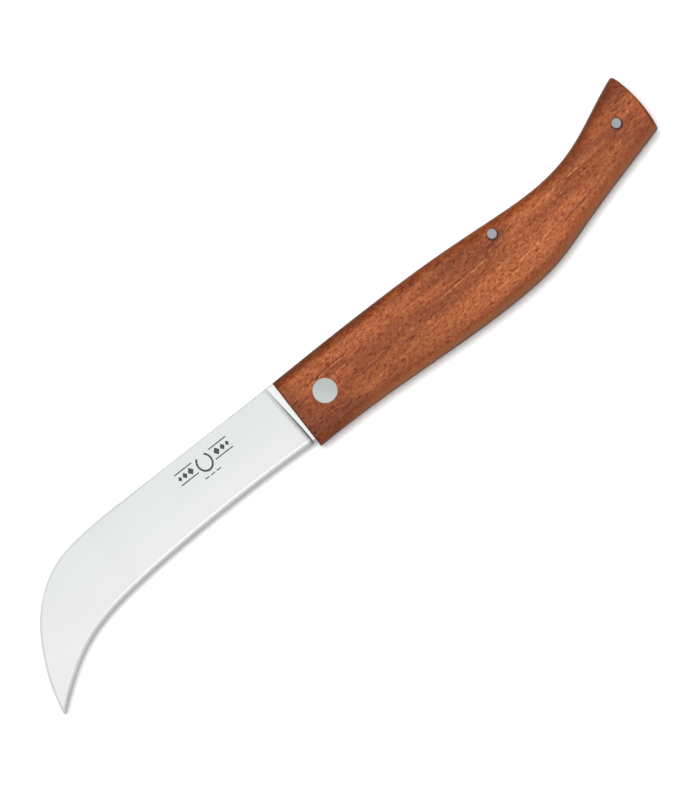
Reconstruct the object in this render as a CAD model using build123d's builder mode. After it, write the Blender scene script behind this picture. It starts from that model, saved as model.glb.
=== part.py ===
"""Folding hoof knife: hawkbill blade, backspring and wooden scales.

The pivot axis is the Z axis. The rear scale rests on Z = 0, +X runs along the
handle to the butt and +Y to its back. The blade is open, with its tip at -X.
"""

import os

from build123d import *

os.makedirs("parts", exist_ok=True)

# ---- driving dimensions of the handle, mm ----
scale_thickness = 5.5
liner_thickness = 0.6
slot_width = 2.5
front_end = -9.25
liner_overhang = 0.12
long_edge_radius = 2.6
butt_radius = 0.8
front_radius = 0.3

pivot_at = (0, 0)
spring_pin_at = (56.95, 5.2)
butt_pin_at = (98.45, 7.85)
pin_diameter = 2.6
pin_proud = 0.1
pin_end_radius = 0.15
head_diameter = 6.25
head_height = 1.2
barrel_diameter = 4.0
post_diameter = 2.4
fit_gap = 0.05

# ---- driving dimensions of the blade, mm ----
tang_thickness = 2.4
tang_flat = 5.15
tang_radius = 6.2
notch_x = -5.5
closed_flat_angle = -80
closed_flat_end = 4.5
edge_half = 0.04
bevel_width = 1.1
bevel_half = 0.38
grind_depth = 19.3
grind_reach = 24
plunge_lean = 0.7
spine_break = 0.35
cutter_margin = 3
cutter_lead = 8
zone_low_corner = (-120, -40)
zone_high_corner = (-120, 20)

# ---- levels along Z, from the resting face up ----
z_head_rear = fit_gap
z_rear_liner = scale_thickness
z_slot = z_rear_liner + liner_thickness
z_middle = z_slot + slot_width / 2
z_tang_top = z_middle + tang_thickness / 2
z_front_liner = z_slot + slot_width
z_front_scale = z_front_liner + liner_thickness
z_top = z_front_scale + scale_thickness
z_head_front = z_top - fit_gap

# ---- curves of the handle, from the front end round the butt ----
back_points = [
    (front_end, 9.5),
    (5, 9.72),
    (22, 9.76),
    (40, 9.35),
    (56, 8.3),
    (70, 7.5),
    (78, 8.0),
    (86, 9.9),
    (95, 13.7),
    (104.6, 17.85),
]
butt_bulge = (106.38, 9.0)
belly_points = [
    (105.9, 0.35),
    (96, -2.3),
    (86, -4.95),
    (76, -7.9),
    (66, -10.75),
    (58, -11.8),
    (48, -12.1),
    (30, -11.5),
    (12, -10.55),
    (2, -10.3),
    (front_end, -10.38),
]

# ---- underside of the backspring, from its nose pad to the butt ----
nose_x = notch_x + 0.2
pad_y = tang_flat + fit_gap
pad_end_x = 3.9
spring_points = [
    (11.3, 7.15),
    (24, 6.5),
    (38, 4.9),
    (50, 3.0),
    (60, 2.2),
    (72, 2.0),
    (84, 2.9),
    (93, 3.9),
    (99, 5.4),
    (107.5, 9.4),
]

# ---- curves of the blade ----
spine_y = 9.5
spine_tangents = [(-1, 0), (-0.25, -1)]
spine_points = [
    (-60, spine_y),
    (-70, 9.12),
    (-78, 7.82),
    (-85, 4.55),
    (-91, -0.68),
    (-96.15, -8.52),
    (-99.75, -16.87),
    (-101.35, -23.3),
]
tip_bulge = (-101.2, -23.75)
edge_points = [
    (-100.7, -23.85),
    (-93, -18.05),
    (-85, -13.65),
    (-77, -11.25),
    (-67, -9.85),
    (-55, -9.0),
    (-42, -8.5),
    (-30, -8.35),
    (-10.1, -8.75),
]
heel_points = [(-9.9, -8.0), (-9.0, -8.0)]
plunge_points = [(-11.45, 12), (-11.1, 6), (-10.62, 1), (-10.2, -4), (-9.95, -9.6)]


def handle_outline(level, front=front_end, corner_radius=0):
    """Outline of the handle at one level, with its butt corners rounded."""
    with BuildSketch(Plane.XY.offset(level)) as outline:
        with BuildLine():
            back = Spline(*back_points)
            ThreePointArc(back @ 1, butt_bulge, belly_points[0])
            belly = Spline(*belly_points)
            if front < front_end:
                Polyline(belly @ 1, (front, (belly @ 1).Y), (front, (back @ 0).Y), back @ 0)
            else:
                Line(belly @ 1, back @ 0)
        make_face()
        if corner_radius:
            fillet(outline.vertices().sort_by(Axis.X)[-2:], radius=corner_radius)
    return outline.sketch


def round_outside(scale, inside, outside):
    """Round all edges of a wooden scale but those of its inner face."""
    outer_edges = scale.edges().group_by(lambda edge: round(abs(edge.center().Z - outside), 3))[0]
    fillet(outer_edges.sort_by(SortBy.LENGTH)[-2:], radius=long_edge_radius)
    for end, radius in ((-1, butt_radius), (0, front_radius)):
        end_face = scale.faces().sort_by(Axis.X)[end]
        end_edges = end_face.edges().sort_by(lambda edge: abs(edge.center().Z - inside))
        fillet(end_edges[1:], radius=radius)


def bore(diameter, *centres):
    """Round bores right through the piece that is being built."""
    with Locations(*centres):
        Hole(radius=diameter / 2 + fit_gap)


# ---- wooden scales, each with a counterbore for one head of the pivot rivet ----
for side, inside, outside in (("front", z_front_scale, z_top), ("rear", z_rear_liner, 0)):
    with BuildPart() as scale:
        extrude(handle_outline(min(inside, outside)), amount=scale_thickness)
        round_outside(scale, inside, outside)
        bore(barrel_diameter, pivot_at)
        bore(pin_diameter, spring_pin_at, butt_pin_at)
        with BuildSketch(Plane.XY.offset(outside)):
            Circle(head_diameter / 2 + fit_gap)
        extrude(amount=head_height + fit_gap, dir=(0, 0, inside - outside), mode=Mode.SUBTRACT)
    scale.part.label = side + "_scale"
    export_step(scale.part, "parts/" + side + "_scale.step")

# ---- steel liners on both sides of the slot, just proud of the wood's front end ----
for side, level in (("front", z_front_liner), ("rear", z_rear_liner)):
    with BuildPart() as liner:
        extrude(handle_outline(level, front_end - liner_overhang, butt_radius), amount=liner_thickness)
        bore(barrel_diameter, pivot_at)
        bore(pin_diameter, spring_pin_at, butt_pin_at)
    liner.part.label = side + "_liner"
    export_step(liner.part, "parts/" + side + "_liner.step")

# ---- backspring, flush with the back of the handle, its pad on the tang's flat ----
with BuildPart() as backspring:
    with BuildSketch(Plane.XY.offset(z_slot)) as spring_profile:
        add(handle_outline(0, corner_radius=butt_radius))
        with BuildLine():
            underside = Spline(*spring_points)
            above = 2 * back_points[-1][1]
            Polyline(underside @ 0, (pad_end_x, pad_y), (nose_x, pad_y), (nose_x, above))
            Polyline((nose_x, above), ((underside @ 1).X, above), underside @ 1)
        make_face(mode=Mode.INTERSECT)
    extrude(amount=slot_width)
    bore(pin_diameter, spring_pin_at, butt_pin_at)
backspring.part.label = "backspring"
export_step(backspring.part, "parts/backspring.step")

# ---- pivot rivet: a tube with the rear head, and a post with the front head in it ----
with BuildPart() as rivet_tube:
    with BuildSketch(Plane.XY.offset(z_head_rear)):
        Circle(head_diameter / 2)
    extrude(amount=head_height)
    with BuildSketch(Plane.XY.offset(z_head_rear + head_height)):
        Circle(barrel_diameter / 2)
        Circle(post_diameter / 2 + fit_gap, mode=Mode.SUBTRACT)
    extrude(amount=z_head_front - z_head_rear - 2 * head_height - fit_gap)
rivet_tube.part.label = "rivet_tube"
export_step(rivet_tube.part, "parts/rivet_tube.step")

with BuildPart() as rivet_post:
    with BuildSketch(Plane.XY.offset(z_head_front)):
        Circle(head_diameter / 2)
    extrude(amount=-head_height)
    with BuildSketch(Plane.XY.offset(z_head_front)):
        Circle(post_diameter / 2)
    extrude(amount=z_head_rear + head_height + fit_gap - z_head_front)
rivet_post.part.label = "rivet_post"
export_step(rivet_post.part, "parts/rivet_post.step")

# ---- plain pins right through the handle, their front ends slightly domed ----
for name, centre in (("spring_pin", spring_pin_at), ("butt_pin", butt_pin_at)):
    with BuildPart() as pin:
        with BuildSketch(Plane.XY.offset(z_head_rear)):
            with Locations(centre):
                Circle(pin_diameter / 2)
        extrude(amount=z_top + pin_proud - z_head_rear)
        fillet(pin.edges().sort_by(Axis.Z)[-1], radius=pin_end_radius)
    pin.part.label = name
    export_step(pin.part, "parts/" + name + ".step")

# ---- cutter for the front face of the blade: edge bevel and flat grind up to the spine ----
with BuildPart() as grind:
    with BuildLine(Plane.XY.offset(z_middle)) as edge_path:
        edge = Spline(*edge_points)
        Line((edge @ 0) - (edge % 0) * cutter_lead, edge @ 0)
        Line(edge @ 1, (edge @ 1) + (edge % 1) * cutter_lead)
    along = edge % 0
    inward = (-along.Y, along.X, 0)
    face_rise = (tang_thickness / 2 - bevel_half) / (grind_depth - bevel_width)
    with BuildSketch(Plane(origin=edge_path.wire() @ 0, x_dir=inward, z_dir=along)):
        with BuildLine():
            Polyline(
                (-cutter_margin, edge_half),
                (0, edge_half),
                (bevel_width, bevel_half),
                (grind_reach, bevel_half + face_rise * (grind_reach - bevel_width)),
                (grind_reach, tang_thickness),
                (-cutter_margin, tang_thickness),
                close=True,
            )
        make_face()
    sweep(path=edge_path.wire())

# ---- zone of the grind: it ends at the plunge line, on a wall that leans to the tip ----
with BuildPart() as ground_zone:
    for level, lean in ((z_middle, -plunge_lean), (z_middle + tang_thickness, plunge_lean)):
        with BuildSketch(Plane.XY.offset(level)):
            with BuildLine():
                plunge = Spline(*[(x + lean, y) for x, y in plunge_points])
                Polyline(plunge @ 1, zone_low_corner, zone_high_corner, plunge @ 0)
            make_face()
    loft(ruled=True)

# ---- cutter that breaks the front edge of the spine ----
with BuildPart() as spine_cut:
    with BuildLine(Plane.XY.offset(z_tang_top)) as spine_path:
        spine = Spline(*spine_points, tangents=spine_tangents)
        Line((notch_x, spine_y), spine @ 0)
    with BuildSketch(Plane(origin=(notch_x, spine_y, z_tang_top), x_dir=(0, 1, 0), z_dir=(-1, 0, 0))):
        with BuildLine():
            Polyline(
                (fit_gap, -fit_gap),
                (-spine_break - fit_gap, -fit_gap),
                (fit_gap, spine_break + fit_gap),
                close=True,
            )
        make_face()
    sweep(path=spine_path.wire())

# ---- blade: tang with its notch and two flats, then both faces ground alike ----
with BuildPart() as blade:
    with BuildSketch(Plane.XY.offset(z_middle - tang_thickness / 2)):
        with BuildLine():
            spine = Spline(*spine_points, tangents=spine_tangents)
            ThreePointArc(spine @ 1, tip_bulge, edge_points[0])
            edge = Spline(*edge_points)
            flat_half = (tang_radius**2 - tang_flat**2) ** 0.5
            closed_normal = Vector(1, 0, 0).rotate(Axis.Z, closed_flat_angle)
            closed_along = closed_normal.rotate(Axis.Z, -90)
            closed_start = closed_normal * tang_flat + closed_along * closed_flat_end
            closed_stop = closed_normal * tang_flat - closed_along * flat_half
            Polyline(edge @ 1, *heel_points, closed_start, closed_stop)
            ThreePointArc(closed_stop, (tang_radius, 0), (flat_half, tang_flat))
            Polyline((flat_half, tang_flat), (notch_x, tang_flat), (notch_x, spine_y), spine @ 0)
        make_face()
    extrude(amount=tang_thickness)
    bore(barrel_diameter, pivot_at)
    for cutter in (grind.part & ground_zone.part, spine_cut.part):
        add(cutter, mode=Mode.SUBTRACT)
        add(mirror(cutter, about=Plane.XY.offset(z_middle), mode=Mode.PRIVATE), mode=Mode.SUBTRACT)
blade.part.label = "blade"
export_step(blade.part, "parts/blade.step")
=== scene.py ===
"""Looks of the folding hoof knife: wood, satin steel, a generic etched mark and a studio.

Lengths are metres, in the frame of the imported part: +X to the butt, +Y to the back of the
handle, +Z out of the front scale, the pivot on the Z axis. The materials and the mark work
in millimetres of that frame.
"""

import math

import bmesh
import bpy
from mathutils import Matrix, Vector


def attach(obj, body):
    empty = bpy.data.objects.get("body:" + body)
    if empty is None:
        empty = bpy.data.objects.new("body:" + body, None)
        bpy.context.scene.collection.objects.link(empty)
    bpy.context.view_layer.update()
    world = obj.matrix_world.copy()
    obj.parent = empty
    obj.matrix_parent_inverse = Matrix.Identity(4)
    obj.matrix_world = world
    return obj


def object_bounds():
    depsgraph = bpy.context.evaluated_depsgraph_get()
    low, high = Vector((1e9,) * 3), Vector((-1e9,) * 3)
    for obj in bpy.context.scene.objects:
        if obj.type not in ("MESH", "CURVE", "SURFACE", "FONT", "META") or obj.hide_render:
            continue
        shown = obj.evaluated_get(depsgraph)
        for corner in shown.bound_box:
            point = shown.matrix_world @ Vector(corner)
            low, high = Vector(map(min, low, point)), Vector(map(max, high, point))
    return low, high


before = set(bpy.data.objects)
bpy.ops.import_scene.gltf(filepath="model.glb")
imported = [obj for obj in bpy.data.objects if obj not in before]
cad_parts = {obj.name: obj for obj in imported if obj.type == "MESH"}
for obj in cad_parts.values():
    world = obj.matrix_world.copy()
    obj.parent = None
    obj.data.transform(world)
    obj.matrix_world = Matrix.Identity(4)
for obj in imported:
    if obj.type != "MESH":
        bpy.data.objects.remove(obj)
cad_low, cad_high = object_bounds()

MM = 0.001


# ---- node helpers ----
class Nodes:
    """Short calls that add nodes to one material's or the world's tree."""

    def __init__(self, tree):
        self.tree = tree
        tree.nodes.clear()

    def add(self, kind, inputs=None, **settings):
        """Add a node, set its properties, then fill its inputs with values or sockets."""
        node = self.tree.nodes.new(kind)
        for key, value in settings.items():
            setattr(node, key, value)
        for key, value in (inputs or {}).items():
            if isinstance(value, bpy.types.NodeSocket):
                self.tree.links.new(value, node.inputs[key])
            else:
                node.inputs[key].default_value = value
        return node

    def math(self, operation, first, second=0.0):
        return self.add("ShaderNodeMath", {0: first, 1: second}, operation=operation).outputs[0]

    def plus(self, first, second):
        return self.math("ADD", first, second)

    def minus(self, first, second):
        return self.math("SUBTRACT", first, second)

    def times(self, first, second):
        return self.math("MULTIPLY", first, second)

    def larger(self, first, second):
        return self.math("MAXIMUM", first, second)

    def split(self, vector):
        """The X, Y and Z of a vector."""
        return self.add("ShaderNodeSeparateXYZ", {"Vector": vector}).outputs

    def band(self, value, low, high, to_low=0.0, to_high=1.0):
        """Smooth step of a value from low to high."""
        settings = {"Value": value, "From Min": low, "From Max": high, "To Min": to_low, "To Max": to_high}
        return self.add("ShaderNodeMapRange", settings, interpolation_type="SMOOTHSTEP").outputs[0]

    def mix(self, factor, first, second, blend="MIX"):
        node = self.add("ShaderNodeMix", data_type="RGBA", blend_type=blend)
        for index, value in ((0, factor), (6, first), (7, second)):
            if isinstance(value, bpy.types.NodeSocket):
                self.tree.links.new(value, node.inputs[index])
            else:
                node.inputs[index].default_value = value
        return node.outputs[2]

    def scale_colour(self, base, red, green, blue):
        """A colour multiplied channel by channel."""
        gain = self.add("ShaderNodeCombineColor", {0: red, 1: green, 2: blue}).outputs[0]
        return self.mix(1.0, base, gain, "MULTIPLY")

    def coordinates(self, scale=(1, 1, 1), turn=0.0, shift=(0, 0, 0)):
        """Object coordinates in millimetres, turned about Z, then scaled along each axis and shifted."""
        place = self.add("ShaderNodeTexCoord").outputs["Object"]
        turned = self.add("ShaderNodeMapping", {"Vector": place, "Rotation": (0, 0, turn)})
        inputs = {"Vector": turned.outputs[0], "Scale": Vector(scale) / MM, "Location": shift}
        return self.add("ShaderNodeMapping", inputs).outputs[0]

    def true_normal(self):
        """The X, Y and Z of the surface's own normal."""
        return self.split(self.add("ShaderNodeNewGeometry").outputs["True Normal"])

    def noise(self, vector, detail=3.0, roughness=0.5, distortion=0.0):
        inputs = {"Vector": vector, "Scale": 1.0, "Detail": detail, "Roughness": roughness,
                  "Distortion": distortion}
        return self.add("ShaderNodeTexNoise", inputs).outputs[0]

    def height_of(self, x, points, base=-30.0, reach=60.0):
        """Y at a given X of a smooth line through points, where Y stays in base to base + reach."""
        low, high = points[0][0], points[-1][0]
        span = self.add("ShaderNodeMapRange", {"Value": x, "From Min": low, "From Max": high}).outputs[0]
        node = self.add("ShaderNodeFloatCurve", {"Value": span})
        curve = node.mapping.curves[0]
        for index, (at_x, at_y) in enumerate(points):
            place = ((at_x - low) / (high - low), (at_y - base) / reach)
            if index == 0:
                curve.points[0].location = place
            elif index == len(points) - 1:
                curve.points[-1].location = place
            else:
                curve.points.new(*place)
        node.mapping.update()
        return self.plus(self.times(node.outputs[0], reach), base)

    def ramp(self, value, *stops):
        """Colour ramp through (position, colour) stops, its two ends given first."""
        node = self.add("ShaderNodeValToRGB", {"Fac": value})
        elements = node.color_ramp.elements
        for index, (position, stop_colour) in enumerate(stops):
            element = elements[index] if index < 2 else elements.new(position)
            element.position = position
            element.color = stop_colour
        return node.outputs[0]

    def bump(self, height, strength, distance):
        inputs = {"Height": height, "Strength": strength, "Distance": distance}
        return self.add("ShaderNodeBump", inputs).outputs[0]


def colour(red, green, blue):
    """Linear colour from the 0 to 255 values of a screen."""
    linear = []
    for value in (red, green, blue):
        part = value / 255
        linear.append(part / 12.92 if value <= 10 else ((part + 0.055) / 1.055) ** 2.4)
    return (*linear, 1.0)


def grey(level):
    return colour(level, level, level)


def new_material(name):
    material = bpy.data.materials.new(name)
    material.use_nodes = True
    nodes = Nodes(material.node_tree)
    shader = nodes.add("ShaderNodeBsdfPrincipled")
    output = nodes.add("ShaderNodeOutputMaterial")
    nodes.tree.links.new(shader.outputs[0], output.inputs["Surface"])
    return material, nodes, shader


def connect(nodes, shader, **sockets):
    """Link sockets to the shader's inputs, named with _ for a space."""
    for name, socket in sockets.items():
        nodes.tree.links.new(socket, shader.inputs[name.replace("_", " ")])


# ---- wood ----
GRAIN_TURN = math.radians(-4)
MOTTLE_TURN = math.radians(-20)
DARK_WOOD = colour(116, 56, 24)
MID_WOOD = colour(137, 67, 31)
LIGHT_WOOD = colour(161, 87, 44)
DARK_TONE_AND_SHADE = colour(98, 43, 17)
LIGHT_VEIN = colour(198, 124, 79)
DARK_VEIN = colour(96, 43, 19)
TURNED_AWAY_SHADE = colour(98, 46, 22)
OLIVE_SHEEN = colour(112, 72, 40)
BELLY_SHEEN = colour(134, 84, 58)
RIM_SHADE = colour(70, 34, 20)
CREASE_SHADE = colour(44, 28, 22)
PIN_SHADOW = colour(50, 26, 16)
END_GRAIN_AND_SHADE = colour(44, 22, 12)
FLECK_GAIN = (1.35, 1.6, 1.9, 1.0)
PORE_GAIN = (0.5, 0.42, 0.36, 1.0)

# outlines of the handle: (x, y) along the back and the belly, (y, x) along the butt
SCALE_BACK = ((-9.25, 9.5), (5, 9.72), (22, 9.76), (40, 9.35), (56, 8.3), (70, 7.5), (78, 8), (86, 9.9),
              (95, 13.7), (104.6, 17.85))
SCALE_BUTT = ((-1, 105.8), (4, 106.2), (9, 106.38), (13, 106.0), (17.85, 104.6))
SCALE_BELLY = ((-9.25, -10.38), (2, -10.3), (12, -10.55), (30, -11.5), (48, -12.1), (58, -11.8),
               (66, -10.75), (76, -7.9), (86, -4.95), (96, -2.3), (105.9, 0.35))
BUTT_BASE = 90.0
BUTT_REACH = 20.0
PINS = ((56.95, 5.2), (98.45, 7.85))
PIN_SHADOW_RADIUS = 1.75
PIN_SHADOW_DROP = 0.35

# soft elliptical areas: middle x, middle y, half length, half height, strength
LIGHT_AREAS = (
    (55, -5.5, 34, 4.6, 0.75), (14, 5.6, 30, 2.6, 0.55), (82, -1.5, 22, 4.0, 0.55),
    (35, -6.5, 16, 3.5, 0.35), (98, 9.5, 9, 4, 0.2), (61, -0.5, 8, 2.8, 0.55),
)
# darker areas: mostly the wood's own tone; the long one along the back near the front (at y 10.4) is painted
# shade of the rounded back edge
DARK_AREAS = (
    (-9, -8.5, 22, 5.0, 0.8), (-10.5, 0, 6, 16, 0.6), (4, -7.4, 5, 2.4, 0.45), (0, 10.4, 36, 4.2, 0.9),
    (48, 4.0, 16, 3.0, 0.38), (23, 0.0, 20, 4.0, 0.28), (100, 15, 14, 5, 0.6), (78, 6.5, 24, 2.2, 0.3),
)
OLIVE_SHEEN_AREA = (46, -11, 20, 6, 0.6)

# fine veins: start, end, half width, strength
DARK_VEINS = (
    ((-5, 3.7), (13, 4.6), 0.36, 0.95), ((5, 2.5), (18, 2.7), 0.3, 0.6),
    ((9, -2.6), (20, -1.6), 0.34, 0.7), ((36, 0.6), (58, 2.2), 0.36, 0.8),
    ((-9, -4.8), (5, -4.7), 0.34, 0.7), ((46, 2.5), (58, 3.5), 0.3, 0.4),
    ((72, -3.6), (86, -1.2), 0.32, 0.75), ((66, -0.6), (90, 2.2), 0.26, 0.35),
    ((24, -5.0), (36, -4.2), 0.26, 0.35),
)
LIGHT_VEINS = (
    ((-6, 3.3), (12, 4.1), 0.34, 0.5), ((3, 1.5), (9, 2.2), 0.4, 0.5),
    ((34, 0.1), (60, 1.6), 0.42, 0.5), ((26, -3.2), (40, -1.4), 0.38, 0.45),
    ((46, -3.4), (60, -2.0), 0.45, 0.35), ((54, -4.8), (72, -2.9), 0.45, 0.5),
    ((45, -7.7), (60, -5.2), 0.45, 0.45), ((44, 1.1), (62, 2.9), 0.5, 0.5),
    ((60, 2.7), (95, 6.4), 0.36, 0.5), ((28, 6.2), (46, 7.4), 0.5, 0.35),
)
VEIN_FADE = 0.25


def vein_mask(nodes, x, y, start, end, width):
    """Mask of one fine vein between two points, fading at its ends."""
    slope = (end[1] - start[1]) / (end[0] - start[0])
    line = nodes.plus(nodes.times(x, slope), start[1] - slope * start[0])
    across = nodes.band(nodes.math("ABSOLUTE", nodes.minus(y, line)), width, 0.0)
    fade = VEIN_FADE * (end[0] - start[0])
    along = nodes.times(nodes.band(x, start[0], start[0] + fade), nodes.band(x, end[0], end[0] - fade))
    return nodes.times(across, along)


def spot(nodes, x, y, centre, size):
    """Soft elliptical mask, 1 at its centre and 0 at its rim."""
    across = nodes.math("DIVIDE", nodes.minus(x, centre[0]), size[0])
    up = nodes.math("DIVIDE", nodes.minus(y, centre[1]), size[1])
    return nodes.band(nodes.plus(nodes.times(across, across), nodes.times(up, up)), 1.0, 0.0)


def area_mask(nodes, x, y, area):
    """Mask of one row of an area table."""
    at_x, at_y, half_length, half_height, strength = area
    return nodes.times(spot(nodes, x, y, (at_x, at_y), (half_length, half_height)), strength)


def figured_wood(nodes, x, y):
    """Broad figure and streaks, with the lighter areas of the handle and the darker ones, which are partly
    painted shade.
    """
    figure = nodes.noise(nodes.coordinates((0.03, 0.2, 0.2), GRAIN_TURN), detail=3, distortion=0.6)
    streaks = nodes.noise(nodes.coordinates((0.16, 0.85, 0.85), GRAIN_TURN), detail=4, roughness=0.6)
    tone = nodes.plus(nodes.times(figure, 0.6), nodes.times(streaks, 0.4))
    grain = nodes.ramp(tone, (0.39, DARK_WOOD), (0.63, LIGHT_WOOD), (0.5, MID_WOOD))
    warp = nodes.noise(nodes.coordinates((0.03, 0.1, 0.1)), detail=2)
    wavy_y = nodes.plus(y, nodes.times(nodes.minus(warp, 0.5), 2.2))
    for areas, tint in ((LIGHT_AREAS, LIGHT_WOOD), (DARK_AREAS, DARK_TONE_AND_SHADE)):
        for area in areas:
            grain = nodes.mix(area_mask(nodes, x, wavy_y, area), grain, tint)
    return grain


def veined_wood(nodes, grain, x, y):
    """Fine light veins with gaps in them, then fine dark ones."""
    jitter = nodes.times(nodes.minus(nodes.noise(nodes.coordinates((0.35, 0.35, 0.35))), 0.5), 0.8)
    vein_y = nodes.plus(y, jitter)
    gaps = nodes.band(nodes.noise(nodes.coordinates((0.6, 0.3, 0.3), GRAIN_TURN)), 0.3, 0.6)
    for veins, tint, broken in ((LIGHT_VEINS, LIGHT_VEIN, gaps), (DARK_VEINS, DARK_VEIN, 1.0)):
        for start, end, width, strength in veins:
            mask = nodes.times(vein_mask(nodes, x, vein_y, start, end, width), strength)
            grain = nodes.mix(nodes.times(mask, broken), grain, tint)
    return grain


def shaded_wood_edges(nodes, grain, x, y):
    """Painted light at the edges of the scales: painted shade where they turn from the light, painted sheen
    along the belly, painted shade at the rims and in the belly's crease.
    """
    from_back = nodes.minus(nodes.height_of(x, SCALE_BACK), y)
    from_belly = nodes.minus(y, nodes.height_of(x, SCALE_BELLY))
    from_butt = nodes.minus(nodes.height_of(y, SCALE_BUTT, BUTT_BASE, BUTT_REACH), x)

    # painted shade inside the rounded back edge past x 70 and inside the rounded belly edge past x 45
    back_shade = nodes.times(nodes.band(from_back, 4.0, 1.0), nodes.band(x, 70, 84, 0.0, 0.45))
    belly_shade = nodes.times(nodes.band(from_belly, 3.8, 2.4), nodes.band(x, 45, 60, 0.0, 0.45))
    grain = nodes.mix(nodes.larger(back_shade, belly_shade), grain, TURNED_AWAY_SHADE)
    # painted dull, greyish sheen on the shaded belly rounding around x 46
    olive_sheen = nodes.times(nodes.band(from_belly, 2.4, 0.8), area_mask(nodes, x, y, OLIVE_SHEEN_AREA))
    grain = nodes.mix(olive_sheen, grain, OLIVE_SHEEN)
    # painted pale sheen on the belly rounding, weak at the front end
    belly_sheen = nodes.times(nodes.band(from_belly, 2.6, 0.8), nodes.band(x, -4, 10, 0.15, 0.72))
    grain = nodes.mix(belly_sheen, grain, BELLY_SHEEN)

    # painted shade along the rims of the back (stronger towards its ends), the belly and the butt
    at_ends = nodes.larger(nodes.band(x, 40, 20, 0.45, 1.0), nodes.band(x, 66, 80, 0.45, 1.0))
    back_rim_shade = nodes.times(nodes.band(from_back, 1.6, 0.0), at_ends)
    rim_shade = nodes.larger(back_rim_shade, nodes.band(from_belly, 0.7, 0.0))
    rim_shade = nodes.larger(rim_shade, nodes.band(from_butt, 0.8, 0.0))
    grain = nodes.mix(nodes.times(rim_shade, 0.45), grain, RIM_SHADE)

    # painted dark shade line on the steep outer part of the belly rounding, from x 8 onwards
    rounded = nodes.band(nodes.math("ABSOLUTE", nodes.true_normal()[2]), 0.06, 0.2)
    crease_shade = nodes.times(nodes.band(from_belly, 0.36, 0.05), nodes.band(x, 8, 26))
    return nodes.mix(nodes.times(crease_shade, rounded), grain, CREASE_SHADE)


def wood_material():
    """Reddish brown hardwood, grain along the handle, flecks and open pores, satin oil finish."""
    material, nodes, shader = new_material("oiled_hardwood")
    x, y, _ = nodes.split(nodes.coordinates())
    mottle = nodes.noise(nodes.coordinates((0.95, 1.5, 1.5), MOTTLE_TURN), detail=3, roughness=0.7)
    flecks = nodes.noise(nodes.coordinates((0.8, 2.2, 2.2), GRAIN_TURN, (3, 1, 2)), detail=2, roughness=0.6)
    pores = nodes.noise(nodes.coordinates((0.7, 2.2, 2.2), GRAIN_TURN, (7, 3, 1)), detail=2, roughness=0.6)

    grain = veined_wood(nodes, figured_wood(nodes, x, y), x, y)
    shade = nodes.band(mottle, 0.28, 0.72, 0.75, 1.21)
    dull_shade = nodes.band(mottle, 0.28, 0.72, 0.5, 1.46)
    grain = nodes.scale_colour(grain, shade, dull_shade, dull_shade)
    grain = nodes.mix(nodes.band(flecks, 0.5, 0.78), grain, FLECK_GAIN, "MULTIPLY")
    pore_mask = nodes.band(pores, 0.52, 0.76)
    grain = nodes.mix(pore_mask, grain, PORE_GAIN, "MULTIPLY")

    grain = shaded_wood_edges(nodes, grain, x, y)
    # painted shadow of each pin on the wood: a dark ring shifted towards -Y
    for pin_x, pin_y in PINS:
        pin_shadow = spot(nodes, x, y, (pin_x, pin_y - PIN_SHADOW_DROP), (PIN_SHADOW_RADIUS, PIN_SHADOW_RADIUS))
        grain = nodes.mix(nodes.times(nodes.band(pin_shadow, 0.0, 0.2), 0.8), grain, PIN_SHADOW)
    # darker front edge of the scales: end grain, with painted shade of the broken edge and of the gap before
    # the blade
    grain = nodes.mix(nodes.band(x, -8.75, -9.25, 0.0, 0.8), grain, END_GRAIN_AND_SHADE)

    bump = nodes.bump(nodes.minus(nodes.times(mottle, 0.6), pore_mask), 0.5, 0.04 * MM)
    satin = nodes.band(pore_mask, 0.0, 1.0, 0.5, 0.75)
    connect(nodes, shader, Base_Color=grain, Normal=bump, Roughness=satin)
    shader.inputs["Specular IOR Level"].default_value = 0.1
    return material


# ---- steel ----
LINER_TINT = colour(188, 189, 188)
SPRING_TINT = colour(152, 153, 155)
RIVET_TINT = colour(203, 208, 207)
RIVET_SHADE_TINT = colour(191, 197, 193)
PIN_TINT = colour(171, 171, 175)
POLISH_DEPTH = 0.004 * MM

BLADE_FLAT = ((0.0, colour(226, 230, 229)), (1.0, grey(234)), (0.5, colour(230, 232, 232)))
BEVEL_SHADE_GREYS = ((0.0, grey(203)), (1.0, grey(255)), (0.45, grey(221)), (0.76, grey(239)))
GLINT = grey(250)
SPINE_SHADE = grey(214)
SCRATCH = colour(190, 191, 192)
PLUNGE_SHADE = colour(128, 130, 132)
UPRIGHT_FACE_SHADE = colour(186, 187, 188)
PLUNGE_WALL_SHADE = colour(206, 207, 208)
SHOULDER_HIGHLIGHT = colour(239, 241, 239)

# outlines of the blade: (x, y) along the edge and the spine, (y, x) along the front of the hook
BLADE_EDGE = ((-101.6, -25), (-100.7, -23.85), (-93, -18.05), (-85, -13.65), (-77, -11.25),
              (-67, -9.85), (-55, -9), (-42, -8.5), (-30, -8.35), (-10.1, -8.75))
BLADE_SPINE = ((-91, -0.68), (-85, 4.55), (-78, 7.82), (-70, 9.12), (-60, 9.5), (-10, 9.5))
BLADE_FRONT = ((-23.3, -101.35), (-16.87, -99.75), (-8.52, -96.15), (-0.68, -91), (4.55, -85))
FRONT_BASE = -105.0
FRONT_REACH = 30.0
BEVEL_WIDTH = 1.1
PLUNGE_AT = -10.68
PLUNGE_SLOPE = -0.0694


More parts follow.
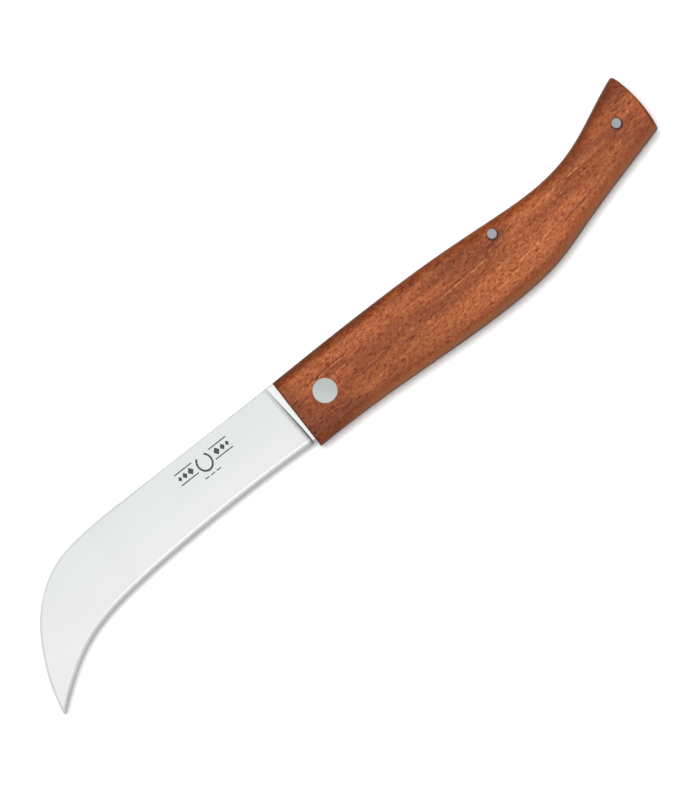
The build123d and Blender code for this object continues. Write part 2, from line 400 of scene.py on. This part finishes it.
def steel_material(name, tint, roughness, line_scale, line_strength, shade_tint=None):
    """Satin steel with fine polishing lines, line_scale per mm; shade_tint, when given, is a painted shade
    towards +X and +Y, a painted sheen gradient across the part.
    """
    material, nodes, shader = new_material(name)
    lines = nodes.noise(nodes.coordinates(line_scale), detail=3, roughness=0.6)
    smudge = nodes.noise(nodes.coordinates((0.12, 0.12, 0.12)), detail=3)
    level = nodes.times(nodes.band(lines, 0.2, 0.8, 0.97, 1.03), nodes.band(smudge, 0.3, 0.7, 0.98, 1.02))
    # painted sheen gradient: tint towards -X and -Y, shade_tint towards +X and +Y
    if shade_tint:
        x, y, _ = nodes.split(nodes.coordinates())
        tint = nodes.mix(nodes.band(nodes.plus(x, y), -3.0, 2.5), tint, shade_tint)
    base = nodes.scale_colour(tint, level, level, level)
    connect(nodes, shader, Base_Color=base, Normal=nodes.bump(lines, line_strength, POLISH_DEPTH),
            Roughness=nodes.band(smudge, 0.2, 0.8, roughness - 0.04, roughness + 0.04))
    shader.inputs["Metallic"].default_value = 1.0
    return material


def spine_shade_line(nodes, x, y):
    """Mask of the painted shade line just inside the spine and the front of the hook."""
    from_spine = nodes.minus(nodes.height_of(x, BLADE_SPINE), y)
    from_front = nodes.minus(x, nodes.height_of(y, BLADE_FRONT, FRONT_BASE, FRONT_REACH))
    along_spine = nodes.times(nodes.band(from_spine, 0.75, 0.35), nodes.band(x, -90, -86))
    along_front = nodes.times(nodes.band(from_front, 0.9, 0.45), nodes.band(y, 4.5, 0.5))
    return nodes.times(nodes.larger(along_spine, along_front), nodes.band(x, -35, -60))


def blade_material():
    """Ground blade: fine lines across the flat, a coarser edge bevel, a polished shoulder by the handle,
    with painted light: a glint above the bevel, shade inside the spine, on the bevel, at the plunge and on
    upright faces, and a highlight on the shoulder.
    """
    material, nodes, shader = new_material("ground_blade_steel")
    x, y, _ = nodes.split(nodes.coordinates())
    normal = nodes.true_normal()
    flatness = nodes.math("ABSOLUTE", normal[2])
    fine = nodes.noise(nodes.coordinates((9.0, 0.25, 0.25), math.radians(4)), detail=3, roughness=0.6)
    coarse = nodes.noise(nodes.coordinates((7.0, 1.2, 0.8), math.radians(-12)), detail=2)
    smudge = nodes.noise(nodes.coordinates((0.05, 0.08, 0.1)), detail=2)

    # flat, a little lighter towards the edge; painted glint above the bevel; painted shade line inside the
    # spine
    across = nodes.plus(y, nodes.times(nodes.minus(smudge, 0.5), 6.0))
    body = nodes.ramp(nodes.band(across, 9.0, -8.0), *BLADE_FLAT)
    level = nodes.times(nodes.band(fine, 0.2, 0.8, 0.985, 1.015), nodes.band(smudge, 0.3, 0.7, 0.985, 1.015))
    base = nodes.scale_colour(body, level, level, level)
    from_edge = nodes.minus(y, nodes.height_of(x, BLADE_EDGE))
    glint = nodes.times(nodes.band(from_edge, 1.9, 1.3), nodes.band(x, -92, -60))
    base = nodes.mix(glint, base, GLINT)
    base = nodes.mix(spine_shade_line(nodes, x, y), base, SPINE_SHADE)

    # edge bevel, told from the flat by its slope, with painted shade that darkens it towards the edge, and
    # coarse scratches
    bevel = nodes.times(nodes.band(flatness, 0.99, 0.975), nodes.band(flatness, 0.6, 0.8))
    bevel_shade = nodes.ramp(nodes.band(from_edge, 0.0, BEVEL_WIDTH), *BEVEL_SHADE_GREYS)
    scratched_bevel_shade = nodes.mix(nodes.band(coarse, 0.35, 0.65, 0.0, 0.35), bevel_shade, SCRATCH)
    base = nodes.mix(bevel, base, scratched_bevel_shade)

    # painted shade beside the plunge line, painted shade on the upright faces and the plunge wall, and the
    # polished shoulder with a painted highlight
    from_plunge = nodes.minus(nodes.plus(nodes.times(y, PLUNGE_SLOPE), PLUNGE_AT), x)
    low_down = nodes.band(y, 9.0, -4.0, 0.35, 0.9)
    shade = nodes.times(nodes.band(from_plunge, 1.5, 0.0), nodes.times(low_down, 0.9))
    base = nodes.mix(nodes.times(shade, nodes.band(from_plunge, -0.1, 0.1)), base, PLUNGE_SHADE)
    # painted shade on upright faces
    base = nodes.mix(nodes.band(flatness, 0.5, 0.3), base, UPRIGHT_FACE_SHADE)
    # painted shade on the plunge wall
    wall = nodes.times(nodes.band(normal[0], -0.25, -0.6), nodes.band(x, -13.5, -13.0))
    base = nodes.mix(wall, base, PLUNGE_WALL_SHADE)
    # polished shoulder: lower roughness, and a painted highlight in its lighter colour
    shoulder = nodes.times(nodes.band(flatness, 0.9995, 0.9999), nodes.band(from_plunge, 0.1, -0.1))
    base = nodes.mix(shoulder, base, SHOULDER_HIGHLIGHT)

    lines = nodes.plus(nodes.times(fine, 0.3), nodes.times(coarse, bevel))
    satin = nodes.band(bevel, 0.0, 1.0, 0.24, 0.34)
    connect(nodes, shader, Base_Color=base, Normal=nodes.bump(lines, 0.15, POLISH_DEPTH),
            Roughness=nodes.minus(satin, nodes.times(shoulder, 0.12)))
    shader.inputs["Metallic"].default_value = 1.0
    return material


def etch_material():
    """Dark grey electro-etched surface, slightly uneven."""
    material, nodes, shader = new_material("etched_grey")
    speckle = nodes.noise(nodes.coordinates((4, 4, 4)), detail=2)
    base = nodes.ramp(speckle, (0.3, colour(88, 92, 92)), (0.7, colour(118, 122, 121)))
    connect(nodes, shader, Base_Color=base)
    shader.inputs["Roughness"].default_value = 0.7
    shader.inputs["Metallic"].default_value = 0.2
    return material


def dress_cad_nodes():
    """Give every CAD node its detailed material."""
    wood = wood_material()
    liner = steel_material("brushed_liner", LINER_TINT, 0.32, (0.3, 12, 12), 0.2)
    spring = steel_material("filed_spring", SPRING_TINT, 0.34, (0.3, 10, 10), 0.3)
    # the rivet takes a painted sheen gradient
    rivet = steel_material("peened_rivet", RIVET_TINT, 0.34, (3, 3, 3), 0.15, RIVET_SHADE_TINT)
    pin = steel_material("pin_steel", PIN_TINT, 0.36, (3, 3, 3), 0.2)
    looks = {
        "front_scale": wood, "rear_scale": wood, "front_liner": liner, "rear_liner": liner,
        "backspring": spring, "rivet_tube": rivet, "rivet_post": rivet, "spring_pin": pin,
        "butt_pin": pin, "blade": blade_material(),
    }
    for name, material in looks.items():
        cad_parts[name].data.materials.clear()
        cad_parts[name].data.materials.append(material)


# ---- etched mark: a plain horseshoe between lozenges, over a row of dashes ----
MARK_CENTRE = (-34.8, 4.4)
MARK_LIFT = 0.02 * MM
HORSESHOE_OUTER = 2.5
HORSESHOE_INNER = 1.95
HORSESHOE_NARROWING = 0.88
HORSESHOE_START = math.radians(125)
HORSESHOE_STOP = math.radians(415)
HORSESHOE_STEPS = 28
LOZENGES = ((4.1, 0.85), (5.9, 0.7), (7.4, 0.55))
LOZENGE_Y = 0.4
LOZENGE_HEIGHT = 1.25
BAR_X = 5.4
BAR_LEVELS = (-1.15, 1.95)
BAR_SIZE = (5.4, 0.3)
DASHES = (-1.8, 0.0, 1.8)
DASH_Y = -3.5
DASH_SIZE = (1.3, 0.28)


def horseshoe_parts():
    """Short four-sided parts of a small horseshoe, open towards +Y."""
    def place(radius, step):
        angle = HORSESHOE_START + (HORSESHOE_STOP - HORSESHOE_START) * step / HORSESHOE_STEPS
        return radius * HORSESHOE_NARROWING * math.cos(angle), radius * math.sin(angle)

    inner, outer = HORSESHOE_INNER, HORSESHOE_OUTER
    return [[place(inner, step), place(outer, step), place(outer, step + 1), place(inner, step + 1)]
            for step in range(HORSESHOE_STEPS)]


def lozenge_outline(x, y, half_length, half_height):
    return [(x - half_length, y), (x, y - half_height), (x + half_length, y), (x, y + half_height)]


def bar_outline(x, y, size):
    """Thin bar, longest along X, around its middle."""
    across, up = size[0] / 2, size[1] / 2
    return [(x - across, y - up), (x + across, y - up), (x + across, y + up), (x - across, y + up)]


def mark_shapes():
    """All outlines of the mark, from its middle."""
    shapes = horseshoe_parts()
    for side in (-1, 1):
        for x, half in LOZENGES:
            shapes.append(lozenge_outline(side * x, LOZENGE_Y, half, half * LOZENGE_HEIGHT))
        for level in BAR_LEVELS:
            shapes.append(bar_outline(side * BAR_X, level, BAR_SIZE))
    for x in DASHES:
        shapes.append(bar_outline(x, DASH_Y, DASH_SIZE))
    return shapes


def etched_mark():
    """Thin flat shapes that lie on the front face of the blade."""
    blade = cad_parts["blade"]
    mesh = bmesh.new()
    for outline in mark_shapes():
        points = []
        for x, y in outline:
            above = Vector(((MARK_CENTRE[0] + x) * MM, (MARK_CENTRE[1] + y) * MM, cad_high.z))
            _, place, _, _ = blade.ray_cast(above, Vector((0, 0, -1)))
            points.append(mesh.verts.new(place + Vector((0, 0, MARK_LIFT))))
        mesh.faces.new(points)
    bmesh.ops.triangulate(mesh, faces=mesh.faces[:])
    data = bpy.data.meshes.new("etched_mark")
    mesh.to_mesh(data)
    mesh.free()
    mark = bpy.data.objects.new("etched_mark", data)
    bpy.context.scene.collection.objects.link(mark)
    thickness = mark.modifiers.new("thickness", "SOLIDIFY")
    thickness.thickness = MARK_LIFT / 2
    data.materials.append(etch_material())
    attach(mark, "blade")


# ---- studio ----
# Z of a direction and the dome's level there, the ramp's two ends first
DOME_LEVELS = ((0.0, 0.34), (1.0, 1.0), (0.3, 0.3), (0.6, 0.34), (0.8, 0.66), (0.92, 1.0))
DOME_STRENGTH = 1.05
FLOOR_SIZE = 40
FLOOR_DROP = 0.02 * MM
KEY_ENERGY = 2.42
KEY_ANGLE = math.radians(14.5)
KEY_LEAN = math.radians(5.5)
KEY_LEAN_TOWARDS = (-0.12, 0.99)

KNIFE_ANGLE = math.radians(38)
VIEW_CENTRE = Vector((3.46, -5.71, 0)) * MM
VIEW_WIDTH = 200 * MM
VIEW_PLANE_Z = 10 * MM
LENS = 900.0
SENSOR = 36.0
CLIP_START = 0.01
CLIP_END = 100


def make_world():
    """Soft dome, bright overhead and dim at the horizon."""
    world = bpy.data.worlds.new("dome")
    bpy.context.scene.world = world
    world.use_nodes = True
    nodes = Nodes(world.node_tree)
    height = nodes.split(nodes.add("ShaderNodeTexCoord").outputs["Generated"])[2]
    stops = [(position, (level, level, level, 1)) for position, level in DOME_LEVELS]
    inputs = {"Color": nodes.ramp(height, *stops), "Strength": DOME_STRENGTH}
    background = nodes.add("ShaderNodeBackground", inputs)
    output = nodes.add("ShaderNodeOutputWorld")
    nodes.tree.links.new(background.outputs[0], output.inputs["Surface"])


def make_floor():
    """Plain pale floor under the knife."""
    bpy.ops.mesh.primitive_plane_add(size=FLOOR_SIZE, location=(0, 0, -FLOOR_DROP))
    floor = bpy.context.object
    floor.name = "floor"
    material, nodes, shader = new_material("pale_floor")
    soft = nodes.noise(nodes.coordinates((0.02, 0.02, 0.02)), detail=2)
    connect(nodes, shader, Base_Color=nodes.ramp(soft, (0.3, grey(247)), (0.7, grey(250))))
    shader.inputs["Roughness"].default_value = 0.9
    shader.inputs["Specular IOR Level"].default_value = 0.1
    floor.data.materials.append(material)
    return floor


def make_key_light(receivers):
    """Broad key light, almost overhead; only the receivers take it, so steel takes the dome's light."""
    light = bpy.data.lights.new("key", "SUN")
    light.energy = KEY_ENERGY
    light.angle = KEY_ANGLE
    key = bpy.data.objects.new("key", light)
    bpy.context.scene.collection.objects.link(key)
    lean_x, lean_y = (part * math.sin(KEY_LEAN) for part in KEY_LEAN_TOWARDS)
    towards = Vector((lean_x, lean_y, math.cos(KEY_LEAN)))
    key.rotation_euler = towards.to_track_quat("Z", "Y").to_euler()
    lit = bpy.data.collections.new("lit_by_key")
    for item in receivers:
        lit.objects.link(item)
    key.light_linking.receiver_collection = lit


def make_camera():
    """Straight down on the knife, rolled so that the handle rises to the upper right."""
    data = bpy.data.cameras.new("camera")
    data.sensor_width = SENSOR
    data.lens = LENS
    data.clip_start = CLIP_START
    data.clip_end = CLIP_END
    camera = bpy.data.objects.new("camera", data)
    bpy.context.scene.collection.objects.link(camera)
    right = Vector((math.cos(KNIFE_ANGLE), -math.sin(KNIFE_ANGLE), 0))
    up = Vector((math.sin(KNIFE_ANGLE), math.cos(KNIFE_ANGLE), 0))
    turn = Matrix((right, up, right.cross(up))).transposed().to_4x4()
    height = VIEW_PLANE_Z + VIEW_WIDTH * LENS / SENSOR
    camera.matrix_world = Matrix.Translation(VIEW_CENTRE + Vector((0, 0, height))) @ turn
    bpy.context.scene.camera = camera


make_camera()
make_world()
floor = make_floor()
dress_cad_nodes()
etched_mark()
make_key_light([floor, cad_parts["front_scale"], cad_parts["rear_scale"]])
bpy.context.scene.view_settings.view_transform = "Standard"
